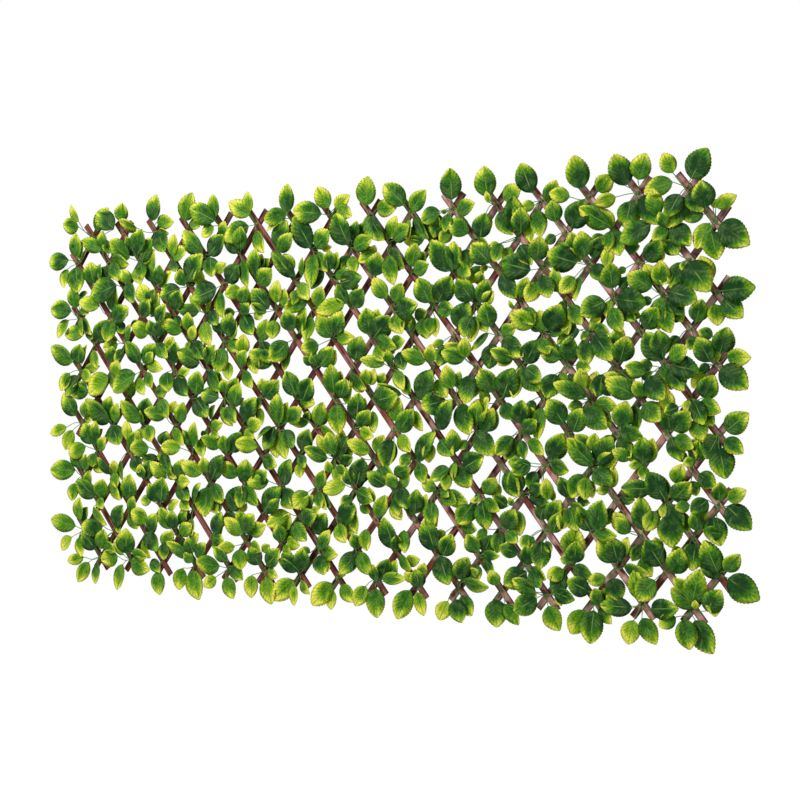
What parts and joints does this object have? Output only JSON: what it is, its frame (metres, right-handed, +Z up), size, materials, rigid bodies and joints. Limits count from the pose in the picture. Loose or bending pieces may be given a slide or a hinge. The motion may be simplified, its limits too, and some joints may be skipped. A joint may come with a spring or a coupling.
{
  "type": "expanding trellis panel",
  "caption": "Expanding wooden lattice trellis: crossed layers of flat slats riveted at every crossing, folding like lazy tongs, with artificial leaf sprigs on the front.",
  "frame": {"origin": "on the back face of the middle back slat, half way between its rivets at the panel's middle", "axes": "+X along the panel's width, to the right as seen from the leaf side; +Y out of the back, towards the wall; +Z up; the leaves face -Y"},
  "size_m": [2.077, 0.0491, 1.1176],
  "materials": {
    "wood": "dark red-brown stained, satin",
    "leaf": "green with yellow-green margins, satin"
  },
  "bodies": {
    "back_01": {"back_slat_01": "wood"},
    "back_02": {"back_slat_02": "wood"},
    "back_03": {"back_slat_03": "wood"},
    "back_04": {"back_slat_04": "wood"},
    "back_05": {"back_slat_05": "wood"},
    "back_06": {"back_slat_06": "wood"},
    "back_07": {"back_slat_07": "wood"},
    "back_08": {"back_slat_08": "wood"},
    "back_09": {"back_slat_09": "wood"},
    "back_10": {"back_slat_10": "wood"},
    "back_11": {"back_slat_11": "wood"},
    "back_12": {"back_slat_12": "wood"},
    "back_13": {"back_slat_13": "wood"},
    "back_14": {"back_slat_14": "wood"},
    "back_15": {"back_slat_15": "wood"},
    "back_16": {"back_slat_16": "wood"},
    "back_17": {"back_slat_17": "wood"},
    "back_18": {"back_slat_18": "wood"},
    "back_19": {"back_slat_19": "wood"},
    "back_20": {"back_slat_20": "wood"},
    "back_21": {"back_slat_21": "wood"},
    "back_22": {"back_slat_22": "wood"},
    "front_01": {"front_slat_01": "wood"},
    "front_02": {"front_slat_02": "wood", "leaf_sprigs_02": "leaf"},
    "front_03": {"front_slat_03": "wood", "leaf_sprigs_03": "leaf"},
    "front_04": {"front_slat_04": "wood", "leaf_sprigs_04": "leaf"},
    "front_05": {"front_slat_05": "wood"},
    "front_06": {"front_slat_06": "wood", "leaf_sprigs_06": "leaf"},
    "front_07": {"front_slat_07": "wood", "leaf_sprigs_07": "leaf"},
    "front_08": {"front_slat_08": "wood", "leaf_sprigs_08": "leaf"},
    "front_09": {"front_slat_09": "wood"},
    "front_10": {"front_slat_10": "wood", "leaf_sprigs_10": "leaf"},
    "front_11": {"front_slat_11": "wood", "leaf_sprigs_11": "leaf"},
    "front_12": {"front_slat_12": "wood", "leaf_sprigs_12": "leaf"},
    "front_13": {"front_slat_13": "wood"},
    "front_14": {"front_slat_14": "wood", "leaf_sprigs_14": "leaf"},
    "front_15": {"front_slat_15": "wood", "leaf_sprigs_15": "leaf"},
    "front_16": {"front_slat_16": "wood", "leaf_sprigs_16": "leaf"},
    "front_17": {"front_slat_17": "wood"},
    "front_18": {"front_slat_18": "wood", "leaf_sprigs_18": "leaf"},
    "front_19": {"front_slat_19": "wood", "leaf_sprigs_19": "leaf"},
    "front_20": {"front_slat_20": "wood", "leaf_sprigs_20": "leaf"},
    "front_21": {"front_slat_21": "wood"},
    "front_22": {"front_slat_22": "wood", "leaf_sprigs_22": "leaf"}
  },
  "joints": [
    {"name": "fold", "type": "hinge", "parent": "back_11", "child": "front_11", "pos_m": [-0.03051, -0.00515, -0.03961], "axis": [0, 1, 0], "range_deg": [-14.8, 56], "deforming": ["leaf_sprigs_02", "leaf_sprigs_03", "leaf_sprigs_04", "leaf_sprigs_06", "leaf_sprigs_07", "leaf_sprigs_08", "leaf_sprigs_10", "leaf_sprigs_11", "leaf_sprigs_12", "leaf_sprigs_14", "leaf_sprigs_15", "leaf_sprigs_16", "leaf_sprigs_18", "leaf_sprigs_19", "leaf_sprigs_20", "leaf_sprigs_22"]},
    {"name": "turn_front_01", "type": "hinge", "parent": "back_07", "child": "front_01", "pos_m": [-0.88471, -0.00515, -0.51499], "axis": [0, 1, 0], "range_deg": [-14.8, 56]},
    {"name": "turn_front_02", "type": "hinge", "parent": "back_08", "child": "front_02", "pos_m": [-0.76268, -0.00515, -0.51499], "axis": [0, 1, 0], "range_deg": [-14.8, 56]},
    {"name": "turn_front_03", "type": "hinge", "parent": "back_09", "child": "front_03", "pos_m": [-0.64065, -0.00515, -0.51499], "axis": [0, 1, 0], "range_deg": [-14.8, 56]},
    {"name": "turn_front_04", "type": "hinge", "parent": "back_10", "child": "front_04", "pos_m": [-0.51862, -0.00515, -0.51499], "axis": [0, 1, 0], "range_deg": [-14.8, 56]},
    {"name": "turn_front_05", "type": "hinge", "parent": "back_11", "child": "front_05", "pos_m": [-0.39659, -0.00515, -0.51499], "axis": [0, 1, 0], "range_deg": [-14.8, 56]},
    {"name": "turn_front_06", "type": "hinge", "parent": "back_11", "child": "front_06", "pos_m": [-0.33558, -0.00515, -0.43576], "axis": [0, 1, 0], "range_deg": [-14.8, 56]},
    {"name": "turn_front_07", "type": "hinge", "parent": "back_11", "child": "front_07", "pos_m": [-0.27457, -0.00515, -0.35653], "axis": [0, 1, 0], "range_deg": [-14.8, 56]},
    {"name": "turn_front_08", "type": "hinge", "parent": "back_11", "child": "front_08", "pos_m": [-0.21355, -0.00515, -0.2773], "axis": [0, 1, 0], "range_deg": [-14.8, 56]},
    {"name": "turn_front_09", "type": "hinge", "parent": "back_11", "child": "front_09", "pos_m": [-0.15254, -0.00515, -0.19807], "axis": [0, 1, 0], "range_deg": [-14.8, 56]},
    {"name": "turn_front_10", "type": "hinge", "parent": "back_11", "child": "front_10", "pos_m": [-0.09152, -0.00515, -0.11884], "axis": [0, 1, 0], "range_deg": [-14.8, 56]},
    {"name": "turn_front_12", "type": "hinge", "parent": "back_11", "child": "front_12", "pos_m": [0.03051, -0.00515, 0.03961], "axis": [0, 1, 0], "range_deg": [-14.8, 56]},
    {"name": "turn_front_13", "type": "hinge", "parent": "back_11", "child": "front_13", "pos_m": [0.09152, -0.00515, 0.11884], "axis": [0, 1, 0], "range_deg": [-14.8, 56]},
    {"name": "turn_front_14", "type": "hinge", "parent": "back_11", "child": "front_14", "pos_m": [0.15254, -0.00515, 0.19807], "axis": [0, 1, 0], "range_deg": [-14.8, 56]},
    {"name": "turn_front_15", "type": "hinge", "parent": "back_11", "child": "front_15", "pos_m": [0.21355, -0.00515, 0.2773], "axis": [0, 1, 0], "range_deg": [-14.8, 56]},
    {"name": "turn_front_16", "type": "hinge", "parent": "back_11", "child": "front_16", "pos_m": [0.27457, -0.00515, 0.35653], "axis": [0, 1, 0], "range_deg": [-14.8, 56]},
    {"name": "turn_front_17", "type": "hinge", "parent": "back_11", "child": "front_17", "pos_m": [0.33558, -0.00515, 0.43576], "axis": [0, 1, 0], "range_deg": [-14.8, 56]},
    {"name": "turn_front_18", "type": "hinge", "parent": "back_12", "child": "front_18", "pos_m": [0.45761, -0.00515, 0.43576], "axis": [0, 1, 0], "range_deg": [-14.8, 56]},
    {"name": "turn_front_19", "type": "hinge", "parent": "back_13", "child": "front_19", "pos_m": [0.57964, -0.00515, 0.43576], "axis": [0, 1, 0], "range_deg": [-14.8, 56]},
    {"name": "turn_front_20", "type": "hinge", "parent": "back_14", "child": "front_20", "pos_m": [0.70167, -0.00515, 0.43576], "axis": [0, 1, 0], "range_deg": [-14.8, 56]},
    {"name": "turn_front_21", "type": "hinge", "parent": "back_15", "child": "front_21", "pos_m": [0.8237, -0.00515, 0.43576], "axis": [0, 1, 0], "range_deg": [-14.8, 56]},
    {"name": "turn_front_22", "type": "hinge", "parent": "back_16", "child": "front_22", "pos_m": [0.94573, -0.00515, 0.43576], "axis": [0, 1, 0], "range_deg": [-14.8, 56]},
    {"name": "turn_back_01", "type": "hinge", "parent": "front_07", "child": "back_01", "pos_m": [-0.88471, -0.00515, 0.43576], "axis": [0, 1, 0], "range_deg": [-56, 14.8]},
    {"name": "turn_back_02", "type": "hinge", "parent": "front_08", "child": "back_02", "pos_m": [-0.76268, -0.00515, 0.43576], "axis": [0, 1, 0], "range_deg": [-56, 14.8]},
    {"name": "turn_back_03", "type": "hinge", "parent": "front_09", "child": "back_03", "pos_m": [-0.64065, -0.00515, 0.43576], "axis": [0, 1, 0], "range_deg": [-56, 14.8]},
    {"name": "turn_back_04", "type": "hinge", "parent": "front_10", "child": "back_04", "pos_m": [-0.51862, -0.00515, 0.43576], "axis": [0, 1, 0], "range_deg": [-56, 14.8]},
    {"name": "turn_back_05", "type": "hinge", "parent": "front_11", "child": "back_05", "pos_m": [-0.39659, -0.00515, 0.43576], "axis": [0, 1, 0], "range_deg": [-56, 14.8]},
    {"name": "turn_back_06", "type": "hinge", "parent": "front_11", "child": "back_06", "pos_m": [-0.33558, -0.00515, 0.35653], "axis": [0, 1, 0], "range_deg": [-56, 14.8]},
    {"name": "turn_back_07", "type": "hinge", "parent": "front_11", "child": "back_07", "pos_m": [-0.27457, -0.00515, 0.2773], "axis": [0, 1, 0], "range_deg": [-56, 14.8]},
    {"name": "turn_back_08", "type": "hinge", "parent": "front_11", "child": "back_08", "pos_m": [-0.21355, -0.00515, 0.19807], "axis": [0, 1, 0], "range_deg": [-56, 14.8]},
    {"name": "turn_back_09", "type": "hinge", "parent": "front_11", "child": "back_09", "pos_m": [-0.15254, -0.00515, 0.11884], "axis": [0, 1, 0], "range_deg": [-56, 14.8]},
    {"name": "turn_back_10", "type": "hinge", "parent": "front_11", "child": "back_10", "pos_m": [-0.09152, -0.00515, 0.03961], "axis": [0, 1, 0], "range_deg": [-56, 14.8]},
    {"name": "turn_back_12", "type": "hinge", "parent": "front_11", "child": "back_12", "pos_m": [0.03051, -0.00515, -0.11884], "axis": [0, 1, 0], "range_deg": [-56, 14.8]},
    {"name": "turn_back_13", "type": "hinge", "parent": "front_11", "child": "back_13", "pos_m": [0.09152, -0.00515, -0.19807], "axis": [0, 1, 0], "range_deg": [-56, 14.8]},
    {"name": "turn_back_14", "type": "hinge", "parent": "front_11", "child": "back_14", "pos_m": [0.15254, -0.00515, -0.2773], "axis": [0, 1, 0], "range_deg": [-56, 14.8]},
    {"name": "turn_back_15", "type": "hinge", "parent": "front_11", "child": "back_15", "pos_m": [0.21355, -0.00515, -0.35653], "axis": [0, 1, 0], "range_deg": [-56, 14.8]},
    {"name": "turn_back_16", "type": "hinge", "parent": "front_11", "child": "back_16", "pos_m": [0.27457, -0.00515, -0.43576], "axis": [0, 1, 0], "range_deg": [-56, 14.8]},
    {"name": "turn_back_17", "type": "hinge", "parent": "front_11", "child": "back_17", "pos_m": [0.33558, -0.00515, -0.51499], "axis": [0, 1, 0], "range_deg": [-56, 14.8]},
    {"name": "turn_back_18", "type": "hinge", "parent": "front_12", "child": "back_18", "pos_m": [0.45761, -0.00515, -0.51499], "axis": [0, 1, 0], "range_deg": [-56, 14.8]},
    {"name": "turn_back_19", "type": "hinge", "parent": "front_13", "child": "back_19", "pos_m": [0.57964, -0.00515, -0.51499], "axis": [0, 1, 0], "range_deg": [-56, 14.8]},
    {"name": "turn_back_20", "type": "hinge", "parent": "front_14", "child": "back_20", "pos_m": [0.70167, -0.00515, -0.51499], "axis": [0, 1, 0], "range_deg": [-56, 14.8]},
    {"name": "turn_back_21", "type": "hinge", "parent": "front_15", "child": "back_21", "pos_m": [0.8237, -0.00515, -0.51499], "axis": [0, 1, 0], "range_deg": [-56, 14.8]},
    {"name": "turn_back_22", "type": "hinge", "parent": "front_16", "child": "back_22", "pos_m": [0.94573, -0.00515, -0.51499], "axis": [0, 1, 0], "range_deg": [-56, 14.8]}
  ],
  "couplings": [
    {"joint": "turn_front_01", "follows": "fold", "ratio": 1},
    {"joint": "turn_front_02", "follows": "fold", "ratio": 1},
    {"joint": "turn_front_03", "follows": "fold", "ratio": 1},
    {"joint": "turn_front_04", "follows": "fold", "ratio": 1},
    {"joint": "turn_front_05", "follows": "fold", "ratio": 1},
    {"joint": "turn_front_06", "follows": "fold", "ratio": 1},
    {"joint": "turn_front_07", "follows": "fold", "ratio": 1},
    {"joint": "turn_front_08", "follows": "fold", "ratio": 1},
    {"joint": "turn_front_09", "follows": "fold", "ratio": 1},
    {"joint": "turn_front_10", "follows": "fold", "ratio": 1},
    {"joint": "turn_front_12", "follows": "fold", "ratio": 1},
    {"joint": "turn_front_13", "follows": "fold", "ratio": 1},
    {"joint": "turn_front_14", "follows": "fold", "ratio": 1},
    {"joint": "turn_front_15", "follows": "fold", "ratio": 1},
    {"joint": "turn_front_16", "follows": "fold", "ratio": 1},
    {"joint": "turn_front_17", "follows": "fold", "ratio": 1},
    {"joint": "turn_front_18", "follows": "fold", "ratio": 1},
    {"joint": "turn_front_19", "follows": "fold", "ratio": 1},
    {"joint": "turn_front_20", "follows": "fold", "ratio": 1},
    {"joint": "turn_front_21", "follows": "fold", "ratio": 1},
    {"joint": "turn_front_22", "follows": "fold", "ratio": 1},
    {"joint": "turn_back_01", "follows": "fold", "ratio": -1},
    {"joint": "turn_back_02", "follows": "fold", "ratio": -1},
    {"joint": "turn_back_03", "follows": "fold", "ratio": -1},
    {"joint": "turn_back_04", "follows": "fold", "ratio": -1},
    {"joint": "turn_back_05", "follows": "fold", "ratio": -1},
    {"joint": "turn_back_06", "follows": "fold", "ratio": -1},
    {"joint": "turn_back_07", "follows": "fold", "ratio": -1},
    {"joint": "turn_back_08", "follows": "fold", "ratio": -1},
    {"joint": "turn_back_09", "follows": "fold", "ratio": -1},
    {"joint": "turn_back_10", "follows": "fold", "ratio": -1},
    {"joint": "turn_back_12", "follows": "fold", "ratio": -1},
    {"joint": "turn_back_13", "follows": "fold", "ratio": -1},
    {"joint": "turn_back_14", "follows": "fold", "ratio": -1},
    {"joint": "turn_back_15", "follows": "fold", "ratio": -1},
    {"joint": "turn_back_16", "follows": "fold", "ratio": -1},
    {"joint": "turn_back_17", "follows": "fold", "ratio": -1},
    {"joint": "turn_back_18", "follows": "fold", "ratio": -1},
    {"joint": "turn_back_19", "follows": "fold", "ratio": -1},
    {"joint": "turn_back_20", "follows": "fold", "ratio": -1},
    {"joint": "turn_back_21", "follows": "fold", "ratio": -1},
    {"joint": "turn_back_22", "follows": "fold", "ratio": -1}
  ]
}
